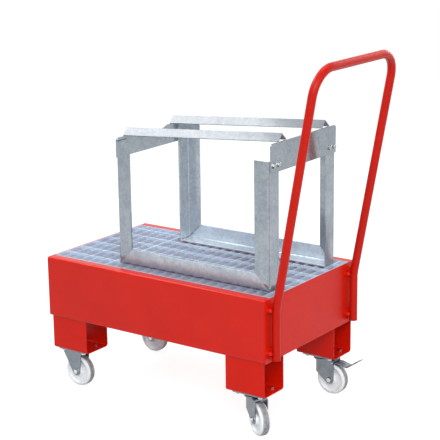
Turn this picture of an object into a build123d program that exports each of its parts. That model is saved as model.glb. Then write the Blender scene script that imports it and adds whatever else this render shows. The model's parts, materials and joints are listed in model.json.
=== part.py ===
from build123d import *
from math import sqrt
import os

# Mobile spill tray: a sheet-steel sump on casters, a lift-out grating, a push handle and a drum stand.
# Millimetres. +X points to the handle end, -Y to the front, +Z up, and the floor is at Z = 0.

# Tray
tray_length = 815
tray_width = 493
tray_depth = 190
sheet = 3
rim_flange = 30
rim_radius = 7
base_radius = 6

# Feet under the tray
foot_length = 134
foot_width = 102
foot_height = 107
foot_setback = 5
foot_radius = 9
foot_spacing = 664

# Grating deck
grating_depth = 30
cross_bar_depth = 10
grating_bar = 2
panel_clearance = 2
side_clearance = 2
panel_gap = 2
left_panel_length = 199
left_meshes = 6
right_meshes = 18
bearing_bar_pitch = 34
cross_bar_pitch = 66.6
cross_bars = 6
first_cross_bar = -158
ledge_leg = 30
ledge_reach = 50

# Push handle
handle_reach = 158
handle_rise = 654
leg_spacing = 427
leg_drop = 182
kink_drop = 34
kink_radius = 100
bend_radius = 75
tube_radius = 12.5
tube_wall = 2
lug_length = 62
lug_height = 28
lug_thickness = 3
lug_drops = (31, 158)
lug_hole_spacing = 42
weld_gap = 0.1
stud_length = 11.5
dome_radius = 6.2
dome_bore_depth = 9

# Drum stand and cradle
stand_length = 550
stand_width = 356
stand_height = 379
stand_offset = 101.5
angle_leg = 50
angle_thickness = 5
angle_root_radius = 3
angle_heel_radius = 8
plate_thickness = 5
plate_width = 344
plate_corner_radius = 8
right_plate_bottom = 346
right_plate_top = 429
right_bolt_rise = 366
left_plate_bottom = 328
left_plate_top = 388
left_bolt_rise = 350
drum_clearance_radius = 200
drum_clearance_depth = 16
bolt_spans = (272, 321)
rail_leg = 30
rail_thickness = 3
rail_spacing = 230
rail_seat_gap = 0.05

# Casters
caster_height = 128
caster_plate_length = 105
caster_plate_width = 85
caster_plate_thickness = 4
caster_plate_radius = 6
fixed_caster_shift = -5
bolt_pitch_x = 80
bolt_pitch_y = 60
wheel_radius = 50
wheel_half_width = 15
tread_edge_radius = 9
wheel_web_half_width = 9
wheel_rim_inner_radius = 39
wheel_draft = 2
hub_radius = 15
hub_half_width = 18.2
bush_radius = 7.5
running_clearance = 0.05
leg_half_gap = 18.5
leg_thickness = 3
leg_end_radius = 14
trail = 34
front_heading = -32
rear_heading = 0
race_height = 9
race_outer_radius = 31
race_inner_radius = 16
race_chamfer = 3
swivel_gap = 0.3
fork_head_thickness = 4
fork_head_radius = 31
fork_leg_back = 14
fork_leg_drop = 45
fork_bend_radius = 6
fork_slot_length = 200
kingpin_radius = 6
kingpin_head_radius = 10
kingpin_head_height = 5
bracket_back = 50
bracket_front = 20
bracket_head_depth = 16

# Brake on the rear swivel caster, in the caster's own side view
brake_pivot = (42, 105.5)
brake_pin_radius = 2.5
brake_hub_radius = 4.5
pedal_run = [(62, 105.5), (92, 98), (130, 124)]
pedal_thickness = 3
pedal_bend_radius = 10
pedal_half_width = 17.5
shoe_start = 48
shoe_end = 59
shoe_half_width = 14
shoe_gap = 3

# M8 fasteners
m8_radius = 4
m8_hole_radius = 4.5
hex_flats = 13
hex_head_height = 5.3
nut_height = 6.5
nut_clearance = 0.05
washer_radius = 8
washer_thickness = 1.6
thread_end = 2

# Levels and places that follow from the sizes above
base_z = caster_height + foot_height
rim_z = base_z + tray_depth
deck_z = rim_z
tray_x = -handle_reach / 2
tray_end = tray_x + tray_length / 2
trough_length = tray_length - 2 * sheet
trough_start = tray_x - trough_length / 2
trough_end = tray_x + trough_length / 2
opening_width = tray_width - 2 * rim_flange
foot_y = tray_width / 2 - foot_setback - foot_width / 2
caster_plate_z = caster_height - caster_plate_thickness
leg_outer = leg_half_gap + leg_thickness
stand_x = tray_x + stand_offset
stand_left = stand_x - stand_length / 2
stand_right = stand_x + stand_length / 2
sides_x = {"left": -1, "right": 1}
sides_y = {"front": -1, "rear": 1}

os.makedirs("parts", exist_ok=True)


def save(piece, name):
    piece.part.label = name
    export_step(piece.part, f"parts/{name}.step")


# Fasteners, each standing on a list of seat planes


def hex_bolts(seats, shank_length):
    with BuildPart() as bolts:
        with BuildSketch(*seats):
            RegularPolygon(hex_flats / 2, 6, major_radius=False)
        extrude(amount=hex_head_height)
        with BuildSketch(*seats):
            Circle(m8_radius)
        extrude(amount=-shank_length)
    return bolts


def hex_nuts(seats):
    with BuildPart() as nuts:
        with BuildSketch(*seats):
            RegularPolygon(hex_flats / 2, 6, major_radius=False)
            Circle(m8_radius + nut_clearance, mode=Mode.SUBTRACT)
        extrude(amount=nut_height)
    return nuts


def washers(seats):
    with BuildPart() as rings:
        with BuildSketch(*seats):
            Circle(washer_radius)
            Circle(m8_hole_radius, mode=Mode.SUBTRACT)
        extrude(amount=washer_thickness)
    return rings


# Tray: folded trough, two end walls, four feet and the ledges for the grating


def tray_block(inset):
    with BuildPart() as block:
        with Locations((tray_x, 0, rim_z - tray_depth / 2)):
            Box(tray_length - 2 * inset, tray_width - 2 * inset, tray_depth - 2 * inset)
        fillet(block.edges().filter_by(Axis.X).group_by(Axis.Z)[-1], rim_radius - inset)
        fillet(block.edges().filter_by(Axis.X).group_by(Axis.Z)[0], base_radius - inset)
    return block.part


def end_zone(sign):
    with BuildPart() as zone:
        with Locations((tray_x + sign * (tray_length - sheet) / 2, 0, rim_z - tray_depth / 2)):
            Box(sheet, tray_width, tray_depth)
    return zone.part


with BuildPart() as tray_shell:
    add(tray_block(0))
    add(tray_block(sheet), mode=Mode.SUBTRACT)
    with Locations((tray_x, 0, rim_z)):
        Box(trough_length, opening_width, tray_depth, mode=Mode.SUBTRACT)

with BuildPart() as tray_trough:
    add(tray_shell.part)
    for sign in sides_x.values():
        add(end_zone(sign), mode=Mode.SUBTRACT)
save(tray_trough, "tray_trough")

for side, sign in sides_x.items():
    with BuildPart() as end_wall:
        add(tray_shell.part)
        add(end_zone(sign), mode=Mode.INTERSECT)
    save(end_wall, f"end_wall_{side}")


def foot(center_x, center_y, caster_x):
    with BuildPart() as channel:
        with BuildSketch(Plane.YZ.offset(center_x - foot_length / 2)) as section:
            with Locations((center_y, caster_height + foot_height / 2)):
                Rectangle(foot_width, foot_height)
            fillet(section.vertices().group_by(Axis.Y)[0], foot_radius)
            offset(amount=-sheet, mode=Mode.SUBTRACT)
            with Locations((center_y, base_z)):
                Rectangle(foot_width - 2 * sheet, foot_height, mode=Mode.SUBTRACT)
        extrude(amount=foot_length)
        with BuildSketch(Plane.XY.offset(caster_height)):
            with Locations((caster_x, center_y)):
                with GridLocations(bolt_pitch_x, bolt_pitch_y, 2, 2):
                    Circle(m8_hole_radius)
        extrude(amount=sheet, mode=Mode.SUBTRACT)
    return channel


caster_shifts = {"left": fixed_caster_shift, "right": 0}
caster_places = {}
for side, sign_x in sides_x.items():
    for depth, sign_y in sides_y.items():
        foot_x = tray_x + sign_x * foot_spacing / 2
        caster_places[depth, side] = (foot_x + caster_shifts[side], sign_y * foot_y)
        save(foot(foot_x, sign_y * foot_y, foot_x + caster_shifts[side]), f"foot_{depth}_{side}")

for side, sign in sides_y.items():
    with BuildPart() as ledge:
        with BuildSketch(Plane.YZ.offset(trough_start)):
            with BuildLine():
                wall_y = sign * (tray_width / 2 - sheet)
                seat_z = deck_z - grating_depth
                Polyline(
                    (wall_y, seat_z),
                    (wall_y - sign * ledge_reach, seat_z),
                    (wall_y - sign * ledge_reach, seat_z - sheet),
                    (wall_y - sign * sheet, seat_z - sheet),
                    (wall_y - sign * sheet, seat_z - ledge_leg),
                    (wall_y, seat_z - ledge_leg),
                    close=True,
                )
            make_face()
        extrude(amount=trough_length)
    save(ledge, f"grating_ledge_{side}")

# Grating panels: deep bearing bars from front to rear, shallow cross bars flush with the top

grating_width = opening_width - 2 * side_clearance


def grating(start_x, end_x, meshes, pitch):
    first_bar = start_x + grating_bar / 2
    bars = [first_bar + step * pitch for step in range(meshes)] + [end_x - grating_bar / 2]
    middle_x = (start_x + end_x) / 2
    with BuildPart() as panel:
        with BuildSketch(Plane.XY.offset(deck_z)):
            with Locations((middle_x, 0)):
                Rectangle(end_x - start_x, grating_width)
            for bar, next_bar in zip(bars, bars[1:]):
                with Locations(((bar + next_bar) / 2, 0)):
                    Rectangle(next_bar - bar - grating_bar, grating_width - 2 * grating_bar, mode=Mode.SUBTRACT)
        extrude(amount=-grating_depth)
        with BuildSketch(Plane.XY.offset(deck_z)):
            for row in range(cross_bars):
                with Locations((middle_x, first_cross_bar + row * cross_bar_pitch)):
                    Rectangle(end_x - start_x, grating_bar)
        extrude(amount=-cross_bar_depth)
    return panel


left_start = trough_start + panel_clearance
left_end = left_start + left_panel_length
left_pitch = (left_panel_length - grating_bar) / left_meshes
right_end = trough_end - panel_clearance
save(grating(left_start, left_end, left_meshes, left_pitch), "grating_left")
save(grating(left_end + panel_gap, right_end, right_meshes, bearing_bar_pitch), "grating_right")

# Push handle: one bent tube on lugs, held by studs and dome nuts on the outside of the right end wall

tube_x = tray_end + lug_thickness + weld_gap + tube_radius
leg_y = leg_spacing / 2
grip_x = tray_end + handle_reach - tube_radius
grip_z = rim_z + handle_rise
bow_points = [
    (tube_x, -leg_y, rim_z - leg_drop),
    (tube_x, -leg_y, rim_z - kink_drop),
    (grip_x, -leg_y, grip_z),
    (grip_x, leg_y, grip_z),
    (tube_x, leg_y, rim_z - kink_drop),
    (tube_x, leg_y, rim_z - leg_drop),
]
with BuildPart() as handle_bow:
    with BuildLine():
        FilletPolyline(*bow_points, radius=[kink_radius, bend_radius, bend_radius, kink_radius])
    with BuildSketch(Plane(origin=bow_points[0])):
        Circle(tube_radius)
        Circle(tube_radius - tube_wall, mode=Mode.SUBTRACT)
    sweep()
save(handle_bow, "handle_bow")

lug_places = []
for sign in sides_y.values():
    for drop in lug_drops:
        lug_places.append((sign * leg_y, rim_z - drop))
with BuildPart() as handle_lugs:
    with BuildSketch(Plane.YZ.offset(tray_end)):
        with Locations(*lug_places):
            SlotOverall(lug_length, lug_height)
            with GridLocations(lug_hole_spacing, 1, 2, 1):
                Circle(m8_hole_radius, mode=Mode.SUBTRACT)
    extrude(amount=lug_thickness)
save(handle_lugs, "handle_lugs")

with BuildPart() as handle_studs:
    with BuildSketch(Plane.YZ.offset(tray_end)):
        with Locations(*lug_places):
            with GridLocations(lug_hole_spacing, 1, 2, 1):
                Circle(m8_radius)
    extrude(amount=stud_length)
save(handle_studs, "handle_studs")

lug_face = Plane.YZ.offset(tray_end + lug_thickness)
with BuildPart() as handle_nuts:
    with BuildSketch(lug_face):
        with Locations(*lug_places):
            with GridLocations(lug_hole_spacing, 1, 2, 1):
                RegularPolygon(hex_flats / 2, 6, major_radius=False)
    extrude(amount=nut_height)
    with Locations(lug_face.offset(nut_height)):
        with Locations(*lug_places):
            with GridLocations(lug_hole_spacing, 1, 2, 1):
                Sphere(dome_radius, arc_size1=0, align=(Align.CENTER, Align.CENTER, Align.MIN))
    with BuildSketch(lug_face):
        with Locations(*lug_places):
            with GridLocations(lug_hole_spacing, 1, 2, 1):
                Circle(m8_radius + nut_clearance)
    extrude(amount=dome_bore_depth, mode=Mode.SUBTRACT)
save(handle_nuts, "handle_nuts")

# Drum stand: two angle frames with mitred corners, joined by cross plates

bolt_rows = {"left": left_bolt_rise, "right": right_bolt_rise}
bolt_sites = [sign * span / 2 for span in bolt_spans for sign in sides_y.values()]


def mitre(sign_x):
    return Plane(origin=(stand_x + sign_x * stand_length / 2, 0, deck_z), z_dir=(sign_x, 0, 1))


def angle_section(corner, sign_u, sign_v):
    with BuildSketch() as section:
        with BuildLine():
            u, v = corner
            leg_u = u + sign_u * angle_leg
            leg_v = v + sign_v * angle_leg
            inner = (u + sign_u * angle_thickness, v + sign_v * angle_thickness)
            Polyline((u, v), (leg_u, v), (leg_u, inner[1]), inner, (inner[0], leg_v), (u, leg_v), close=True)
        make_face()
        fillet(section.vertices().sort_by_distance((*inner, 0))[0], angle_root_radius)
        fillet(section.vertices().sort_by_distance((*corner, 0))[0], angle_heel_radius)
    return section.sketch_local


def stand_post(side, sign_y):
    sign_x = sides_x[side]
    corner = (stand_x + sign_x * stand_length / 2, sign_y * stand_width / 2)
    with BuildPart() as post:
        with BuildSketch(Plane.XY.offset(deck_z)):
            add(angle_section(corner, -sign_x, -sign_y))
        extrude(amount=stand_height)
        split(bisect_by=mitre(sign_x), keep=Keep.TOP)
        with BuildSketch(Plane.YZ.offset(corner[0])):
            with Locations(*[(y, rim_z + bolt_rows[side]) for y in bolt_sites]):
                Circle(m8_hole_radius)
        extrude(amount=angle_leg, both=True, mode=Mode.SUBTRACT)
    return post


for side in sides_x:
    for depth, sign_y in sides_y.items():
        save(stand_post(side, sign_y), f"stand_post_{depth}_{side}")

for depth, sign_y in sides_y.items():
    with BuildPart() as stand_rail:
        with BuildSketch(Plane.YZ.offset(stand_left)):
            add(angle_section((sign_y * stand_width / 2, deck_z), -sign_y, 1))
        extrude(amount=stand_length)
        split(bisect_by=mitre(-1), keep=Keep.BOTTOM)
        split(bisect_by=mitre(1), keep=Keep.BOTTOM)
    save(stand_rail, f"stand_rail_{depth}")

with BuildPart() as cradle_plate_right:
    with BuildSketch(Plane.YZ.offset(stand_right)) as outline:
        with Locations((0, rim_z + right_plate_bottom)):
            Rectangle(plate_width, right_plate_top - right_plate_bottom, align=(Align.CENTER, Align.MIN))
        fillet(outline.vertices().group_by(Axis.Y)[-1], plate_corner_radius)
        with Locations(*[(y, rim_z + right_bolt_rise) for y in bolt_sites]):
            Circle(m8_hole_radius, mode=Mode.SUBTRACT)
    extrude(amount=plate_thickness)
save(cradle_plate_right, "cradle_plate_right")

with BuildPart() as cradle_plate_left:
    with BuildSketch(Plane.YZ.offset(stand_left)) as outline:
        with Locations((0, rim_z + left_plate_bottom)):
            Rectangle(plate_width, left_plate_top - left_plate_bottom, align=(Align.CENTER, Align.MIN))
        fillet(outline.vertices().group_by(Axis.Y)[-1], plate_corner_radius)
        with Locations((0, rim_z + left_plate_top - drum_clearance_depth + drum_clearance_radius)):
            Circle(drum_clearance_radius, mode=Mode.SUBTRACT)
        with Locations(*[(y, rim_z + left_bolt_rise) for y in bolt_sites]):
            Circle(m8_hole_radius, mode=Mode.SUBTRACT)
    extrude(amount=-plate_thickness)
save(cradle_plate_left, "cradle_plate_left")

# Cradle rails: angles with the corner up, laid on both plates and falling towards the left

rail_run = stand_length + plate_thickness
rail_fall = right_plate_top - left_plate_top
rail_length = sqrt(rail_run**2 + rail_fall**2) + plate_thickness
rail_crown = (rail_leg + rail_thickness) / sqrt(2)
leg_step = rail_leg / sqrt(2)
skin_step = rail_thickness / sqrt(2)
for depth, sign_y in sides_y.items():
    rail_start = (
        stand_left - plate_thickness,
        sign_y * rail_spacing / 2,
        rim_z + left_plate_top + rail_seat_gap,
    )
    with BuildPart() as cradle_rail:
        with BuildSketch(Plane(origin=rail_start, x_dir=(0, 1, 0), z_dir=(rail_run, 0, rail_fall))):
            with BuildLine():
                Polyline(
                    (0, rail_crown),
                    (-leg_step, rail_crown - leg_step),
                    (skin_step - leg_step, 0),
                    (0, rail_crown - 2 * skin_step),
                    (leg_step - skin_step, 0),
                    (leg_step, rail_crown - leg_step),
                    close=True,
                )
            make_face()
        extrude(amount=rail_length)
    save(cradle_rail, f"cradle_rail_{depth}")

cradle_seats = []
cradle_nut_seats = []
for side, sign in sides_x.items():
    face_x = stand_x + sign * (stand_length / 2 + plate_thickness)
    inner_x = stand_x + sign * (stand_length / 2 - angle_thickness)
    for y in bolt_sites:
        site = (y, rim_z + bolt_rows[side])
        cradle_seats.append(Plane(origin=(face_x, *site), x_dir=(0, 1, 0), z_dir=(sign, 0, 0)))
        cradle_nut_seats.append(Plane(origin=(inner_x, *site), x_dir=(0, 1, 0), z_dir=(-sign, 0, 0)))
grip_length = plate_thickness + angle_thickness + washer_thickness + nut_height + thread_end
save(hex_bolts(cradle_seats, grip_length), "cradle_bolts")
save(washers(cradle_nut_seats), "cradle_washers")
save(hex_nuts([seat.offset(washer_thickness) for seat in cradle_nut_seats]), "cradle_nuts")

# Caster parts, each built on the caster's own floor plane, whose x points the way the wheel trails


def side_view(floor):
    return Plane(origin=floor.origin, x_dir=floor.x_dir, z_dir=-floor.y_dir)


def axle_plane(floor, axle_x):
    center = floor.from_local_coords((axle_x, 0, wheel_radius))
    return Plane(origin=center, x_dir=floor.x_dir, z_dir=-floor.y_dir)


def caster_plate(center, height):
    with BuildSketch(Plane.XY.offset(height)) as outline:
        with Locations(center):
            RectangleRounded(caster_plate_length, caster_plate_width, caster_plate_radius)
            with GridLocations(bolt_pitch_x, bolt_pitch_y, 2, 2):
                Circle(m8_hole_radius, mode=Mode.SUBTRACT)
    return outline.sketch


def wheel(axle):
    half_section = [
        (hub_half_width, hub_radius),
        (wheel_web_half_width, hub_radius + wheel_draft),
        (wheel_web_half_width, wheel_rim_inner_radius - wheel_draft),
        (wheel_half_width, wheel_rim_inner_radius),
        (wheel_half_width, wheel_radius),
    ]
    bore = bush_radius + running_clearance
    section_plane = Plane(origin=axle.origin, x_dir=-axle.z_dir, z_dir=axle.x_dir)
    with BuildPart() as roller:
        with BuildSketch(section_plane) as section:
            with BuildLine():
                Polyline(
                    (-hub_half_width, bore),
                    *[(-u, v) for u, v in half_section],
                    *reversed(half_section),
                    (hub_half_width, bore),
                    close=True,
                )
            make_face()
            fillet(section.vertices().group_by(Axis.Y)[-1], tread_edge_radius)
        revolve(axis=Axis(axle.origin, axle.z_dir))
    return roller


def bush(axle):
    with BuildPart() as sleeve:
        with BuildSketch(axle):
            Circle(bush_radius)
            Circle(m8_hole_radius, mode=Mode.SUBTRACT)
        extrude(amount=leg_half_gap, both=True)
    return sleeve


def fork(floor, axle_x, head_back, head_front, head_bottom, head_top, slot_top):
    with BuildPart() as legs:
        with BuildSketch(side_view(floor)):
            with Locations((axle_x, wheel_radius)):
                Circle(leg_end_radius)
            with Locations((head_back, head_bottom)):
                Rectangle(head_front - head_back, head_top - head_bottom, align=Align.MIN)
            make_hull()
        extrude(amount=leg_outer, both=True)
        with BuildSketch(side_view(floor)):
            with Locations((axle_x, slot_top)):
                Rectangle(fork_slot_length, slot_top, align=(Align.CENTER, Align.MAX))
        extrude(amount=leg_half_gap, both=True, mode=Mode.SUBTRACT)
        with BuildSketch(axle_plane(floor, axle_x)):
            Circle(m8_hole_radius)
        extrude(amount=leg_outer, both=True, mode=Mode.SUBTRACT)
    return legs


caster_seats = []
caster_nut_seats = []
for x, y in caster_places.values():
    for place in GridLocations(bolt_pitch_x, bolt_pitch_y, 2, 2):
        site = (x + place.position.X, y + place.position.Y)
        caster_seats.append(Plane(origin=(*site, caster_height + sheet)))
        caster_nut_seats.append(Plane(origin=(*site, caster_plate_z), z_dir=(0, 0, -1)))
caster_grip = sheet + caster_plate_thickness + nut_height + thread_end
save(hex_bolts(caster_seats, caster_grip), "caster_bolts")
save(hex_nuts(caster_nut_seats), "caster_nuts")

axle_length = 2 * leg_outer + nut_height + thread_end


def head_seat(axle):
    return axle.offset(leg_outer)


def nut_seat(axle):
    return Plane(origin=axle.offset(-leg_outer).origin, x_dir=axle.x_dir, z_dir=-axle.z_dir)


# Fixed casters under the left feet

fixed_axles = []
for depth in sides_y:
    center = caster_places[depth, "left"]
    floor = Plane(origin=(*center, 0))
    axle = axle_plane(floor, 0)
    fixed_axles.append(axle)
    head_bottom = caster_plate_z - bracket_head_depth
    legs = fork(floor, 0, -bracket_back, bracket_front, head_bottom, caster_plate_z, caster_plate_z)
    with BuildPart() as fixed_bracket:
        add(caster_plate(center, caster_plate_z))
        extrude(amount=caster_plate_thickness)
        add(legs.part)
    save(fixed_bracket, f"fixed_bracket_{depth}")
    save(wheel(axle), f"fixed_wheel_{depth}")
    save(bush(axle), f"fixed_bush_{depth}")
save(hex_bolts([head_seat(axle) for axle in fixed_axles], axle_length), "fixed_axle_bolts")
save(hex_nuts([nut_seat(axle) for axle in fixed_axles]), "fixed_axle_nuts")

# Swivel casters under the right feet

headings = {"front": front_heading, "rear": rear_heading}
race_z = caster_plate_z - race_height
fork_top = race_z - swivel_gap
fork_slot_top = fork_top - fork_head_thickness
kingpin_head_top = fork_slot_top - swivel_gap
for depth in sides_y:
    center = caster_places[depth, "right"]
    floor = Plane(origin=(*center, 0)).rotated((0, 0, headings[depth]))
    axle = axle_plane(floor, trail)

    with BuildPart() as swivel_plate:
        add(caster_plate(center, caster_plate_z))
        extrude(amount=caster_plate_thickness)
    save(swivel_plate, f"swivel_plate_{depth}")

    with BuildPart() as swivel_race:
        with BuildSketch(floor.offset(race_z)):
            Circle(race_outer_radius)
            Circle(race_inner_radius, mode=Mode.SUBTRACT)
        extrude(amount=race_height)
        chamfer(swivel_race.edges().group_by(Axis.Z)[0].sort_by(SortBy.RADIUS)[-1], race_chamfer)
    save(swivel_race, f"swivel_race_{depth}")

    with BuildPart() as kingpin:
        with BuildSketch(floor.offset(kingpin_head_top)):
            Circle(kingpin_head_radius)
        extrude(amount=-kingpin_head_height)
        with BuildSketch(floor.offset(kingpin_head_top)):
            Circle(kingpin_radius)
        extrude(amount=caster_plate_z - kingpin_head_top)
    save(kingpin, f"kingpin_{depth}")

    leg_front = trail + leg_end_radius
    legs = fork(floor, trail, -fork_leg_back, leg_front, fork_top - fork_leg_drop, fork_top, fork_slot_top)
    with BuildPart() as swivel_fork:
        add(legs.part)
        top_bends = swivel_fork.edges().filter_by(Axis(floor.origin, floor.x_dir)).group_by(Axis.Z)[-1]
        fillet(top_bends, fork_bend_radius)
        with BuildSketch(floor.offset(fork_top)):
            Circle(fork_head_radius)
        extrude(amount=-fork_head_thickness)
        with BuildSketch(floor.offset(fork_top)):
            Circle(kingpin_radius + running_clearance)
        extrude(amount=-fork_head_thickness, mode=Mode.SUBTRACT)
        if depth == "rear":
            with BuildSketch(side_view(floor)):
                with Locations(brake_pivot):
                    Circle(brake_pin_radius + running_clearance)
            extrude(amount=leg_outer, both=True, mode=Mode.SUBTRACT)
    save(swivel_fork, f"swivel_fork_{depth}")

    save(wheel(axle), f"swivel_wheel_{depth}")
    save(bush(axle), f"swivel_bush_{depth}")
    save(hex_bolts([head_seat(axle)], axle_length), f"swivel_axle_bolt_{depth}")
    save(hex_nuts([nut_seat(axle)]), f"swivel_axle_nut_{depth}")

# Brake on the rear swivel caster: pedal, shoe and pivot pin

brake_view = side_view(Plane(origin=(*caster_places["rear", "right"], 0)).rotated((0, 0, rear_heading)))
with BuildPart() as brake_pedal:
    with BuildSketch(brake_view):
        with BuildLine():
            FilletPolyline(brake_pivot, *pedal_run, radius=pedal_bend_radius)
        trace(line_width=pedal_thickness)
        with Locations(brake_pivot):
            Circle(brake_hub_radius)
            Circle(brake_pin_radius + running_clearance, mode=Mode.SUBTRACT)
    extrude(amount=pedal_half_width, both=True)
save(brake_pedal, "brake_pedal")

with BuildPart() as brake_shoe:
    with BuildSketch(brake_view):
        with Locations((shoe_start, brake_pivot[1] - pedal_thickness / 2)):
            Rectangle(shoe_end - shoe_start, wheel_radius, align=(Align.MIN, Align.MAX))
        with Locations((trail, wheel_radius)):
            Circle(wheel_radius + shoe_gap, mode=Mode.SUBTRACT)
    extrude(amount=shoe_half_width, both=True)
save(brake_shoe, "brake_shoe")

with BuildPart() as brake_pin:
    with BuildSketch(brake_view):
        with Locations(brake_pivot):
            Circle(brake_pin_radius)
    extrude(amount=leg_outer + thread_end, both=True)
save(brake_pin, "brake_pin")
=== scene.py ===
import json
from math import cos, pi, radians, sin, tan

import bmesh
import bpy
from mathutils import Matrix, Vector


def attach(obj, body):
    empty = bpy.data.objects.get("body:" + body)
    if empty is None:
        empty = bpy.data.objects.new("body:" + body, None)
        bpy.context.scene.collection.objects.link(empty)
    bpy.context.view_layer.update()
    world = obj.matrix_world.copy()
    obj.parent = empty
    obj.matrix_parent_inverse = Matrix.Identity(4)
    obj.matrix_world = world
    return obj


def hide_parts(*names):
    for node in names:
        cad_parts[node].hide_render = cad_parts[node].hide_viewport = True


# Mobile spill tray: finishes, rounded edges, fasteners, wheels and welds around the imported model. Metres.

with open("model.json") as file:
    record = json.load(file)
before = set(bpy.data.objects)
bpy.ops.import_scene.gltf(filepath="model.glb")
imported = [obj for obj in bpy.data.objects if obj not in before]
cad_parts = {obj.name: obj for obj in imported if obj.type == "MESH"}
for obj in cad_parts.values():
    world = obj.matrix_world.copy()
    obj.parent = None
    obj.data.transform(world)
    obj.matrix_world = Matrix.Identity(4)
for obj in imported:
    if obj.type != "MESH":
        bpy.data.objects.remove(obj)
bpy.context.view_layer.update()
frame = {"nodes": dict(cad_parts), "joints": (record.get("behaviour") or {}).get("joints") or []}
nodes = frame["nodes"]
joints = {joint["name"]: joint for joint in frame["joints"]}
mm = 0.001

# Camera, as it stood for the photograph
view_azimuth = radians(35.80)
view_elevation = radians(14.70)
view_roll = radians(-0.77)
view_distance = 4.34394
view_target = Vector((-0.00022, 0, 0.55773))
photo_pixels = 440
focal_pixels = 1433.56

# Light and floor
lamp_target = (0, 0, 0.4)
deck_target = (0, 0, 0.42)
white = (1, 1, 1, 1)
ambient_strength = 0.5
backdrop_strength = 1.0
floor_half = 20
floor_tone = 0.42
floor_glow = 0.8

# Colours as linear red, green and blue, from a finish's dark patches to its light ones
red_shades = ((0.600, 0.0078, 0.0006), (0.650, 0.0092, 0.0008))
galvanised_shades = ((0.275, 0.32, 0.365), (0.395, 0.44, 0.485))
# Grating bars: the zinc's own colour made paler and bluer; partly painted light inside the mesh and a
# painted blue reflection of a drum
bar_colours_with_painted_light = ((0.60, 0.73, 0.88), (0.72, 0.85, 0.97))
# Pressed caster parts: a darker zinc colour that paints in the shade they sit in under the tray
pressed_painted_shade_colours = ((0.16, 0.185, 0.21), (0.26, 0.29, 0.32))
bright_shades = ((0.48, 0.49, 0.51), (0.64, 0.645, 0.65))
dull_shades = ((0.32, 0.315, 0.305), (0.46, 0.45, 0.43))
rubber_shades = ((0.02, 0.02, 0.022), (0.045, 0.045, 0.045))

# Nylon's colours, from a clean wheel to a darker tread: partly real scuffing, partly painted shade on the
# tread
nylon_scuff_and_shade_stops = (0.0, 0.6, 1.0)
nylon_colours_scuffed_and_shaded = ((0.88, 0.92, 0.95), (0.50, 0.51, 0.53), (0.20, 0.205, 0.215))
scuff_and_shade_depth = 1 * mm

# Roughness, from a finish's smooth patches to its rough ones
pressed_roughness = (0.32, 0.48)
plated_roughness = (0.12, 0.24)
nylon_roughness = (0.34, 0.6)
rubber_roughness = (0.6, 0.8)

# The paint's reflectance, and how much the zinc's spangles add to its clouds
paint_specular = 0.2
spangle_share = 0.35

# Stretches of a pattern's values that colour and roughness are spread over
noise_range = (0.3, 0.7)
mottle_range = (0.35, 0.95)
scuff_and_shade_range = (0, 1)

# Rounded edges
painted_edge = 0.8 * mm
galvanised_edge = 0.8 * mm
grating_edge = 0.35 * mm
caster_edge = 0.7 * mm
edge_angle = radians(35)
edge_segments = 2
flat_angle = radians(0.2)
merge_distance = 0.005 * mm

# M8 fasteners
flats = 13 * mm
head_height = 5.3 * mm
dish_inset = 1 * mm
dish_depth = 0.15 * mm
washer_face = 0.4 * mm
chamfer_radius = 0.95 * flats / 2
chamfer_slope = tan(radians(30))
shank_radius = 4 * mm
beyond_shank = 1.2 * shank_radius
point_chamfer = 0.5 * mm
thread_pitch = 1.25 * mm
thread_depth = 0.6 * mm
thread_start = 0.8 * mm
thread_runout = 0.5 * mm
threaded_length = 8.5 * mm
bore_clearance = 0.05 * mm
mouth_chamfer = 0.6 * mm
corner_step = pi / 3
hex_samples = 48
steps_per_pitch = 6

# Wheels
wheel_radius = 50 * mm
wheel_half_width = 15 * mm
mould_line_half_width = 0.4 * mm
mould_line_height = 0.2 * mm
tread_corner = 9 * mm
rim_inner = 39 * mm
web_half_width = 9 * mm
web_fillet = 1.5 * mm
web_fillet_run = 4 * mm
hub_radius = 15 * mm
hub_half_width = 18.2 * mm
moulded_chamfer = 1 * mm
bore_radius = 7.55 * mm
wheel_samples = 96
arc_steps = 6

# Welds
lug_bead = 2.2 * mm
foot_bead = 2.5 * mm
stand_bead = 2.4 * mm
cradle_bead = 1.8 * mm
bead_pitch = 2.2 * mm
bead_samples = 10
steps_per_ripple = 4
fewest_steps = 8

# A bead's ripples, its uneven width and its thin ends, as shares of its radius
ripple_height = 0.10
wander_height = 0.05
wander_rate = 1.7
end_share = 0.35
end_growth = 6

# Where the beads run, as shares of a piece's length or in from its edges
lug_half_run = 0.42
lug_stand_off = 0.6 * mm
lug_half_spread = 4.6 * mm
foot_stitches = ((0.08, 0.34), (0.66, 0.92))
toe_gap = 1 * mm

# Steel that the beads join
foot_sheet = 3 * mm
angle_leg = 50 * mm
angle_thickness = 5 * mm

# Grip ribs on the brake pedal, measured from the brake's pivot along and above the wheel's run
pedal_bend = Vector((50 * mm, -7.5 * mm))
pedal_tip = Vector((88 * mm, 18.5 * mm))
pedal_thickness = 3 * mm
rib_places = (0.45, 0.6, 0.75, 0.9)
rib_half_length = 14 * mm
rib_radius = 1.3 * mm


# Shader helpers


def shader_node(tree, kind, inputs=None, **settings):
    node = tree.nodes.new(f"ShaderNode{kind}")
    for name, value in settings.items():
        setattr(node, name, value)
    for name, value in (inputs or {}).items():
        if isinstance(value, bpy.types.NodeSocket):
            tree.links.new(value, node.inputs[name])
        else:
            node.inputs[name].default_value = value
    return node


def new_material(name):
    material = bpy.data.materials.new(name)
    material.use_nodes = True
    tree = material.node_tree
    return material, tree, tree.nodes["Principled BSDF"]


def object_place(tree):
    return shader_node(tree, "TexCoord").outputs["Object"]


def noise(tree, place, scale, detail=2, roughness=0.5):
    inputs = {"Vector": place, "Scale": scale, "Detail": detail, "Roughness": roughness}
    return shader_node(tree, "TexNoise", inputs).outputs["Fac"]


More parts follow.
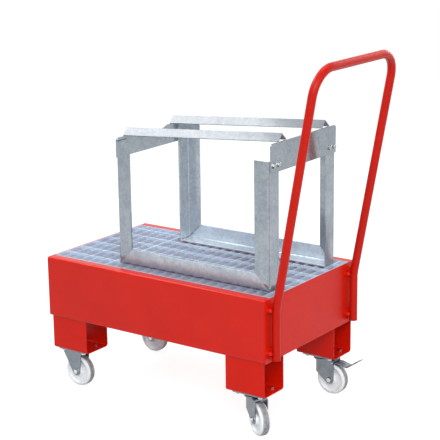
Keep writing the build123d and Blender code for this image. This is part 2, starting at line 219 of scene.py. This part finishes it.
def cells(tree, place, scale):
    colour = shader_node(tree, "TexVoronoi", {"Vector": place, "Scale": scale}).outputs["Color"]
    return shader_node(tree, "SeparateColor", {"Color": colour}).outputs["Red"]


def spread(tree, value, old_range, new_range):
    names = ("Value", "From Min", "From Max", "To Min", "To Max")
    inputs = dict(zip(names, (value, *old_range, *new_range)))
    return shader_node(tree, "MapRange", inputs).outputs["Result"]


def ramp(tree, value, positions, colours):
    node = shader_node(tree, "ValToRGB", {"Fac": value})
    elements = node.color_ramp.elements
    while len(elements) < len(positions):
        elements.new(1)
    for element, position, colour in zip(elements, positions, colours):
        element.position = position
        element.color = (*colour, 1)
    return node.outputs["Color"]


def bump(tree, height, depth, under=None):
    inputs = {"Height": height, "Distance": depth, "Strength": 1}
    if under:
        inputs["Normal"] = under
    return shader_node(tree, "Bump", inputs).outputs["Normal"]


def maths(tree, operation, *values):
    inputs = dict(enumerate(values))
    return shader_node(tree, "Math", inputs, operation=operation).outputs["Value"]


def seen_directly(tree):
    path = shader_node(tree, "LightPath").outputs
    seen = maths(tree, "MAXIMUM", path["Is Camera Ray"], path["Is Glossy Ray"])
    return maths(tree, "MAXIMUM", seen, path["Is Transmission Ray"])


def connect(tree, shader, **sockets):
    for name, value in sockets.items():
        tree.links.new(value, shader.inputs[name.replace("_", " ")])


def toned(shades, tone):
    return [[tone * value for value in shade] for shade in shades]


# Finishes


def red_powder_coat(name, tone, smooth, rough):
    material, tree, shader = new_material(name)
    place = object_place(tree)
    cloud = noise(tree, place, scale=9, detail=3)
    gloss = noise(tree, place, scale=70, detail=3)
    waves = noise(tree, place, scale=7, detail=1)
    peel = noise(tree, place, scale=380, detail=1)
    colour = ramp(tree, cloud, noise_range, toned(red_shades, tone))
    roughness = spread(tree, gloss, noise_range, (smooth, rough))
    normal = bump(tree, waves, depth=0.25 * mm)
    normal = bump(tree, peel, depth=0.02 * mm, under=normal)
    connect(tree, shader, Base_Color=colour, Roughness=roughness, Normal=normal)
    shader.inputs["Specular IOR Level"].default_value = paint_specular
    return material


def zinc_coat(name, shades, metallic, rough, smooth):
    material, tree, shader = new_material(name)
    place = object_place(tree)
    spangle = cells(tree, place, scale=130)
    cloud = noise(tree, place, scale=18, detail=4, roughness=0.6)
    mottle = maths(tree, "MULTIPLY_ADD", spangle, spangle_share, cloud)
    skin = noise(tree, place, scale=60)
    colour = ramp(tree, mottle, mottle_range, shades)
    roughness = spread(tree, mottle, mottle_range, (rough, smooth))
    normal = bump(tree, skin, depth=0.03 * mm)
    connect(tree, shader, Base_Color=colour, Roughness=roughness, Normal=normal)
    shader.inputs["Metallic"].default_value = metallic
    return material


def galvanised(name, tone, metallic, rough=0.2, smooth=0.1):
    return zinc_coat(name, toned(galvanised_shades, tone), metallic, rough, smooth)


def fine_grained(name, shades, rough_range, metallic, film_scale, grain_scale, grain_depth):
    material, tree, shader = new_material(name)
    place = object_place(tree)
    film = noise(tree, place, scale=film_scale, detail=3)
    grain = noise(tree, place, scale=grain_scale)
    colour = ramp(tree, film, noise_range, shades)
    roughness = spread(tree, film, noise_range, rough_range)
    normal = bump(tree, grain, depth=grain_depth)
    connect(tree, shader, Base_Color=colour, Roughness=roughness, Normal=normal)
    shader.inputs["Metallic"].default_value = metallic
    return material


# The pressings' dark zinc colour is painted shade
def pressed_zinc():
    patterns = {"film_scale": 45, "grain_scale": 420, "grain_depth": 0.02 * mm}
    return fine_grained("pressed_zinc", pressed_painted_shade_colours, pressed_roughness, metallic=0.9, **patterns)


def plated_zinc(name, shades):
    patterns = {"film_scale": 60, "grain_scale": 500, "grain_depth": 0.01 * mm}
    return fine_grained(name, shades, plated_roughness, metallic=1, **patterns)


def rubber():
    patterns = {"film_scale": 120, "grain_scale": 900, "grain_depth": 0.05 * mm}
    return fine_grained("black_rubber", rubber_shades, rubber_roughness, metallic=0, **patterns)


def white_nylon():
    material, tree, shader = new_material("white_nylon")
    place = object_place(tree)
    reach = shader_node(tree, "Attribute", attribute_name="reach").outputs["Fac"]
    # The tread's grey is partly real scuffing and partly painted shade, darkest at the outermost radius
    scuff_and_shade_noise = noise(tree, place, scale=90, detail=4, roughness=0.65)
    grain = noise(tree, place, scale=300)
    scuffed_and_shaded_reach = maths(tree, "MULTIPLY_ADD", scuff_and_shade_noise, 2 * scuff_and_shade_depth, reach)
    tread_range = (wheel_radius - scuff_and_shade_depth, wheel_radius + scuff_and_shade_depth)
    scuff_and_shade = spread(tree, scuffed_and_shaded_reach, tread_range, scuff_and_shade_range)
    colour = ramp(tree, scuff_and_shade, nylon_scuff_and_shade_stops, nylon_colours_scuffed_and_shaded)
    roughness = spread(tree, scuff_and_shade, scuff_and_shade_range, nylon_roughness)
    normal = bump(tree, grain, depth=0.02 * mm)
    connect(tree, shader, Base_Color=colour, Roughness=roughness, Normal=normal)
    return material


# One finish for each slot, and the nodes and pressings that have one of their own

finishes = {
    "red_paint": red_powder_coat("red_powder_coat", tone=1, smooth=0.33, rough=0.43),
    "galvanised_steel": galvanised("galvanised_posts", tone=0.84, metallic=0.75),
    "zinc_plate": plated_zinc("bright_zinc", bright_shades),
    "white_nylon": white_nylon(),
    "brake_rubber": rubber(),
}
# The bars' pale blue colour is partly painted light and reflection
bar_finish = zinc_coat("galvanised_bars", bar_colours_with_painted_light, metallic=0.45, rough=0.42, smooth=0.32)
# The cradle rails take a darker copy of the galvanised coat: painted shade
cradle_finish = galvanised("galvanised_cradle", tone=0.7, metallic=0.05)
cradle_fastener_finish = plated_zinc("dull_zinc", dull_shades)
node_finishes = {
    "tray_trough": red_powder_coat("red_trough_coat", tone=1, smooth=0.13, rough=0.2),
    # The handle takes a darker copy of the red coat: painted shade on its tube
    "handle_bow": red_powder_coat("red_handle_coat_painted_shade", tone=0.8, smooth=0.33, rough=0.43),
    "grating_left": bar_finish,
    "grating_right": bar_finish,
    # The rails and the rear posts take lighter copies of the galvanised coat: painted light, most on inner
    # faces
    "stand_rail_front": galvanised(
        "galvanised_front_rail", tone=1.2, metallic=0.95, rough=0.36, smooth=0.3
    ),
    "stand_rail_rear": galvanised("galvanised_rear_rail", tone=1.7, metallic=0.3),
    "stand_post_rear_left": galvanised("galvanised_rear_post", tone=1.3, metallic=0.3),
    "stand_post_rear_right": galvanised(
        "galvanised_right_post", tone=0.93, metallic=0.45, rough=0.24, smooth=0.14
    ),
    "cradle_rail_front": cradle_finish,
    "cradle_rail_rear": cradle_finish,
    "cradle_bolts": cradle_fastener_finish,
    "cradle_washers": cradle_fastener_finish,
    "cradle_nuts": cradle_fastener_finish,
}
pressing_finish = pressed_zinc()
pressings = ("fixed_bracket", "swivel_plate", "swivel_race", "swivel_fork", "brake_pedal")

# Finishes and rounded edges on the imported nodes

edge_by_slot = {
    "red_paint": painted_edge,
    "galvanised_steel": galvanised_edge,
    "zinc_plate": caster_edge,
    "brake_rubber": caster_edge,
}
gratings = ("grating_left", "grating_right")
already_round = ("handle_bow", "bush", "race", "wheel", "studs")


def round_edges(node, radius):
    join = node.modifiers.new("join_faces", "WELD")
    join.merge_threshold = merge_distance
    flat = node.modifiers.new("flat_faces", "DECIMATE")
    flat.decimate_type = "DISSOLVE"
    flat.angle_limit = flat_angle
    edge = node.modifiers.new("edges", "BEVEL")
    edge.width = radius
    edge.segments = edge_segments
    edge.limit_method = "ANGLE"
    edge.angle_limit = edge_angle
    edge.use_clamp_overlap = True
    shade = node.modifiers.new("shade", "WEIGHTED_NORMAL")
    shade.keep_sharp = False


for name, node in nodes.items():
    slot = node.data.materials[0].name
    finish = node_finishes.get(name, finishes[slot])
    if name.startswith(pressings):
        finish = pressing_finish
    node.data.materials[0] = finish
    if any(word in name for word in already_round):
        continue
    round_edges(node, grating_edge if name in gratings else edge_by_slot[slot])


# New pieces


def new_piece(name, bm, body, slot, finish=None):
    mesh = bpy.data.meshes.new(name)
    bmesh.ops.recalc_face_normals(bm, faces=bm.faces)
    bm.to_mesh(mesh)
    bm.free()
    mesh.materials.append(finish or finishes[slot])
    for polygon in mesh.polygons:
        polygon.use_smooth = True
    mesh.set_sharp_from_angle(angle=edge_angle)
    piece = bpy.data.objects.new(name, mesh)
    bpy.context.scene.collection.objects.link(piece)
    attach(piece, body)
    return piece


def turn_angles(samples):
    return [2 * pi * i / samples for i in range(samples)]


def circle(radius, height, samples=hex_samples):
    return [(radius * cos(a), radius * sin(a), height) for a in turn_angles(samples)]


def axis_place(origin, axis):
    return Matrix.Translation(origin) @ Vector(axis).to_track_quat("Z", "Y").to_matrix().to_4x4()


def add_ring(bm, place, points):
    return [bm.verts.new(place @ Vector(point)) for point in points]


def bridge(bm, first, second):
    count = len(first)
    for i in range(count):
        j = (i + 1) % count
        bm.faces.new((first[i], first[j], second[j], second[i]))


def add_lathe(bm, place, rings, closed=False):
    made = [add_ring(bm, place, ring) for ring in rings]
    for first, second in zip(made, made[1:]):
        bridge(bm, first, second)
    if closed:
        bridge(bm, made[-1], made[0])
    else:
        bm.faces.new(made[0])
        bm.faces.new(made[-1])


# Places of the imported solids


def solids(node):
    bm = bmesh.new()
    bm.from_mesh(nodes[node].data)
    bmesh.ops.remove_doubles(bm, verts=bm.verts, dist=merge_distance)
    reached = set()
    groups = []
    for first in bm.verts:
        if first in reached:
            continue
        reached.add(first)
        open_verts = [first]
        group = []
        while open_verts:
            vert = open_verts.pop()
            group.append(vert.co.copy())
            for edge in vert.link_edges:
                other = edge.other_vert(vert)
                if other not in reached:
                    reached.add(other)
                    open_verts.append(other)
        groups.append(group)
    bm.free()
    return groups


def corners(points):
    return Vector(map(min, zip(*points))), Vector(map(max, zip(*points)))


def node_corners(name):
    return corners([vert.co for vert in nodes[name].data.vertices])


def middle(points):
    low, high = corners(points)
    return (low + high) / 2


# Fasteners: chamfered hexagons and cut threads, standing where the plain ones stand


def hexagon(height, chamfer_sign):
    points = []
    for angle in turn_angles(hex_samples):
        radius = flats / 2 / cos(angle % corner_step - corner_step / 2)
        drop = max(0, radius - chamfer_radius) * chamfer_slope
        points.append((radius * cos(angle), radius * sin(angle), height + chamfer_sign * drop))
    return points


def thread(start, end):
    rings = []
    steps = int((end - start) / thread_pitch * steps_per_pitch)
    for step in range(steps + 1):
        height = start + (end - start) * step / steps
        points = []
        for i, angle in enumerate(turn_angles(hex_samples)):
            turn = (height / thread_pitch - i / hex_samples) % 1
            radius = shank_radius - thread_depth * abs(2 * turn - 1)
            points.append((radius * cos(angle), radius * sin(angle), height))
        rings.append(points)
    return rings


def add_bolt(bm, place, shank_length):
    core = shank_radius - thread_depth
    thread_end = threaded_length - shank_length
    rings = [circle(core - point_chamfer, -shank_length), circle(core, point_chamfer - shank_length)]
    rings += thread(thread_start - shank_length, thread_end)
    rings += [circle(shank_radius, thread_end + thread_runout), circle(shank_radius, 0)]
    rings += [circle(chamfer_radius, 0), circle(chamfer_radius, washer_face)]
    rings += [hexagon(washer_face, 0), hexagon(head_height, -1), circle(chamfer_radius, head_height)]
    rings.append(circle(chamfer_radius - dish_inset, head_height - dish_depth))
    add_lathe(bm, place, rings)


def add_nut(bm, place, height):
    bore = shank_radius + bore_clearance
    mouth = bore + mouth_chamfer
    rings = [circle(mouth, 0), circle(chamfer_radius, 0), hexagon(0, 1), hexagon(height, -1)]
    rings += [circle(chamfer_radius, height), circle(mouth, height)]
    rings += [circle(bore, height - mouth_chamfer), circle(bore, mouth_chamfer)]
    add_lathe(bm, place, rings, closed=True)


def head_side(points, center, axis):
    lean = 0
    for point in points:
        arm = point - center
        along = arm.dot(axis)
        if (arm - along * axis).length > beyond_shank:
            lean += along
    return 1 if lean > 0 else -1


def length_along(points, axis):
    along = [point.dot(axis) for point in points]
    return max(along) - min(along)


def replace_bolts(node, body, axis):
    bm = bmesh.new()
    for points in solids(node):
        center = middle(points)
        length = length_along(points, axis)
        outward = head_side(points, center, axis) * axis
        seat = center + outward * (length / 2 - head_height)
        add_bolt(bm, axis_place(seat, outward), length - head_height)
    piece = new_piece(f"{node}_cut", bm, body, "zinc_plate", node_finishes.get(node))
    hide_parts(node)


def replace_nuts(node, body, axis):
    bm = bmesh.new()
    for points in solids(node):
        height = length_along(points, axis)
        add_nut(bm, axis_place(middle(points) - axis * height / 2, axis), height)
    piece = new_piece(f"{node}_cut", bm, body, "zinc_plate", node_finishes.get(node))
    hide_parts(node)


fastened = (
    ("cradle", "drum_stand", (1, 0, 0)),
    ("caster", "chassis", (0, 0, 1)),
    ("fixed_axle", "chassis", (0, 1, 0)),
)
for name, body, axis in fastened:
    replace_bolts(f"{name}_bolts", body, Vector(axis))
    replace_nuts(f"{name}_nuts", body, Vector(axis))
for side in ("front", "rear"):
    axle = Vector(joints[f"swivel_wheel_{side}_spin"]["axis"]).normalized()
    replace_bolts(f"swivel_axle_bolt_{side}", f"fork_{side}", axle)
    replace_nuts(f"swivel_axle_nut_{side}", f"fork_{side}", axle)


# Wheels, whose vertices keep their distance from the axle so that the scuffs and painted shade follow the
# tread


def wheel_half_profile():
    tread_radius = wheel_radius - mould_line_height
    profile = [(0, wheel_radius), (mould_line_half_width, tread_radius)]
    for i in range(arc_steps + 1):
        angle = pi / 2 * i / arc_steps
        across = wheel_half_width - tread_corner + tread_corner * sin(angle)
        profile.append((across, tread_radius - tread_corner + tread_corner * cos(angle)))
    profile += [
        (wheel_half_width, rim_inner + moulded_chamfer),
        (wheel_half_width - moulded_chamfer, rim_inner),
        (web_half_width + web_fillet, rim_inner - web_fillet),
        (web_half_width, rim_inner - web_fillet_run),
        (web_half_width, hub_radius + web_fillet_run),
        (web_half_width + web_fillet, hub_radius + web_fillet),
        (hub_half_width - moulded_chamfer, hub_radius),
        (hub_half_width, hub_radius - moulded_chamfer),
        (hub_half_width, bore_radius),
    ]
    return profile


def wheel_piece(name):
    joint = joints[f"{name}_spin"]
    center = Vector(joint["pos_m"])
    axis = Vector(joint["axis"])
    half = wheel_half_profile()
    profile = half + [(-across, radius) for across, radius in reversed(half[1:])]
    rings = [circle(radius, across, wheel_samples) for across, radius in profile]
    bm = bmesh.new()
    add_lathe(bm, axis_place(center, axis), rings, closed=True)
    reach = bm.verts.layers.float.new("reach")
    for vert in bm.verts:
        arm = vert.co - center
        vert[reach] = (arm - arm.dot(axis) * axis).length
    piece = new_piece(f"{name}_moulded", bm, name, "white_nylon")
    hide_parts(name)


for wheel in ("fixed_wheel_front", "fixed_wheel_rear", "swivel_wheel_front", "swivel_wheel_rear"):
    wheel_piece(wheel)


# Welds: rippled beads along straight runs


def add_bead(bm, start, end, radius):
    start = Vector(start)
    run = Vector(end) - start
    steps = max(fewest_steps, round(run.length / bead_pitch * steps_per_ripple))
    rings = []
    for step in range(steps + 1):
        part = step / steps
        ripple = ripple_height * sin(2 * pi * step / steps_per_ripple)
        wander = wander_height * sin(wander_rate * step)
        taper = min(1, end_share + end_growth * min(part, 1 - part))
        swell = 1 + ripple + wander
        rings.append(circle(radius * swell * taper, part * run.length, bead_samples))
    add_lathe(bm, axis_place(start, run), rings)


# Lugs on the handle's tube, two runs on each


def lug_welds():
    bm = bmesh.new()
    for points in solids("handle_lugs"):
        low, high = corners(points)
        center = (low + high) / 2
        half_run = Vector((0, 0, lug_half_run * (high.z - low.z)))
        for side in (-1, 1):
            spot = Vector((high.x + lug_stand_off, center.y + side * lug_half_spread, center.z))
            add_bead(bm, spot - half_run, spot + half_run, lug_bead)
    new_piece("lug_welds", bm, "chassis", "red_paint")


# Feet under the tray, two stitches along each inner wall


def foot_welds():
    bm = bmesh.new()
    for name in nodes:
        if not name.startswith("foot_"):
            continue
        low, high = node_corners(name)
        length = high.x - low.x
        for y in (low.y + foot_sheet, high.y - foot_sheet):
            for start, end in foot_stitches:
                start_point = (low.x + start * length, y, high.z)
                end_point = (low.x + end * length, y, high.z)
                add_bead(bm, start_point, end_point, foot_bead)
    new_piece("foot_welds", bm, "chassis", "red_paint")


# Stand corners, along the foot of each post and up the mitre, and the cradle rails on their plates


def add_corner_welds(bm, depth, inward):
    low, high = node_corners(f"stand_rail_{depth}")
    heel_y = low.y if inward > 0 else high.y
    inner_y = heel_y + inward * angle_thickness
    toe_y = heel_y + inward * (angle_leg - toe_gap)
    inner_z = low.z + angle_thickness
    for end_x, side in ((low.x, 1), (high.x, -1)):
        inner_x = end_x + side * angle_thickness
        toe_x = end_x + side * (angle_leg - toe_gap)
        inner_corner = (inner_x, inner_y, inner_z)
        add_bead(bm, inner_corner, (inner_x, toe_y, inner_z), stand_bead)
        add_bead(bm, inner_corner, (toe_x, inner_y, high.z - toe_gap), stand_bead)


def add_cradle_welds(bm, depth):
    rail_low, rail_high = node_corners(f"cradle_rail_{depth}")
    for side in ("left", "right"):
        plate_low, plate_high = node_corners(f"cradle_plate_{side}")
        for y in (rail_low.y + cradle_bead, rail_high.y - cradle_bead):
            add_bead(bm, (plate_low.x, y, plate_high.z), (plate_high.x, y, plate_high.z), cradle_bead)


def stand_welds():
    bm = bmesh.new()
    for depth, inward in (("front", 1), ("rear", -1)):
        add_corner_welds(bm, depth, inward)
        add_cradle_welds(bm, depth)
    new_piece("stand_welds", bm, "drum_stand", "galvanised_steel")


# Grip ribs across the tread end of the brake pedal


def pedal_ribs():
    pivot = Vector(joints["brake_press"]["pos_m"])
    across = Vector(joints["brake_press"]["axis"])
    along = across.cross(Vector((0, 0, 1)))
    slope = (pedal_tip - pedal_bend).normalized()
    surface = Vector((-slope.y, slope.x)) * pedal_thickness / 2
    bm = bmesh.new()
    for share in rib_places:
        spot = pedal_bend.lerp(pedal_tip, share) + surface
        center = pivot + along * spot.x + Vector((0, 0, spot.y))
        add_bead(bm, center - across * rib_half_length, center + across * rib_half_length, rib_radius)
    new_piece("pedal_ribs", bm, "brake", "zinc_plate", pressing_finish)


lug_welds()
foot_welds()
stand_welds()
pedal_ribs()


# The light and the floor


def soft_box(name, power, size, place, aim):
    lamp = bpy.data.lights.new(name, "AREA")
    lamp.energy = power
    lamp.shape = "RECTANGLE"
    lamp.size, lamp.size_y = size
    light = bpy.data.objects.new(name, lamp)
    light.location = place
    light.rotation_euler = (Vector(aim) - Vector(place)).to_track_quat("-Z", "Y").to_euler()
    bpy.context.scene.collection.objects.link(light)


def white_room():
    world = bpy.data.worlds.new("white_room")
    world.use_nodes = True
    tree = world.node_tree
    tree.nodes.clear()
    ambient = shader_node(tree, "Background", {"Color": white, "Strength": ambient_strength})
    backdrop = shader_node(tree, "Background", {"Color": white, "Strength": backdrop_strength})
    choices = {0: seen_directly(tree), 1: ambient.outputs[0], 2: backdrop.outputs[0]}
    mixed = shader_node(tree, "MixShader", choices)
    shader_node(tree, "OutputWorld", {"Surface": mixed.outputs[0]})
    bpy.context.scene.world = world


def pale_floor():
    material, tree, shader = new_material("pale_floor")
    shader.inputs["Base Color"].default_value = (floor_tone, floor_tone, floor_tone, 1)
    shader.inputs["Roughness"].default_value = 1
    shader.inputs["Specular IOR Level"].default_value = 0
    shader.inputs["Emission Color"].default_value = white
    connect(tree, shader, Emission_Strength=maths(tree, "MULTIPLY", seen_directly(tree), floor_glow))
    bm = bmesh.new()
    bmesh.ops.create_grid(bm, x_segments=1, y_segments=1, size=floor_half)
    mesh = bpy.data.meshes.new("floor")
    bm.to_mesh(mesh)
    bm.free()
    mesh.materials.append(material)
    floor = bpy.data.objects.new("floor", mesh)
    bpy.context.scene.collection.objects.link(floor)


soft_box("key_box", power=98, size=(1.8, 1.8), place=(2.28, -2.92, 2.37), aim=lamp_target)
soft_box("side_box", power=15, size=(1.6, 1.6), place=(3.4, -0.6, 1.3), aim=lamp_target)
soft_box("strip_box", power=32, size=(2.2, 0.75), place=(-1.47, -0.66, 2.46), aim=deck_target)
soft_box("top_box", power=12, size=(1.2, 1.2), place=(0.1, 0.3, 3.0), aim=lamp_target)
soft_box("back_box", power=45, size=(2.0, 2.0), place=(0.4, 3.5, 1.6), aim=lamp_target)
white_room()
pale_floor()


# Camera


def photo_camera():
    level = Vector((sin(view_azimuth), -cos(view_azimuth), 0))
    back = level * cos(view_elevation) + Vector((0, 0, sin(view_elevation)))
    turn = (-back).to_track_quat("-Z", "Y").to_matrix() @ Matrix.Rotation(view_roll, 3, "Z")
    lens = bpy.data.cameras.new("photo_camera")
    lens.lens = lens.sensor_width * focal_pixels / photo_pixels
    camera = bpy.data.objects.new("photo_camera", lens)
    camera.matrix_world = Matrix.Translation(view_target + view_distance * back) @ turn.to_4x4()
    bpy.context.scene.collection.objects.link(camera)
    bpy.context.scene.camera = camera


photo_camera()
bpy.context.scene.view_settings.view_transform = "Standard"
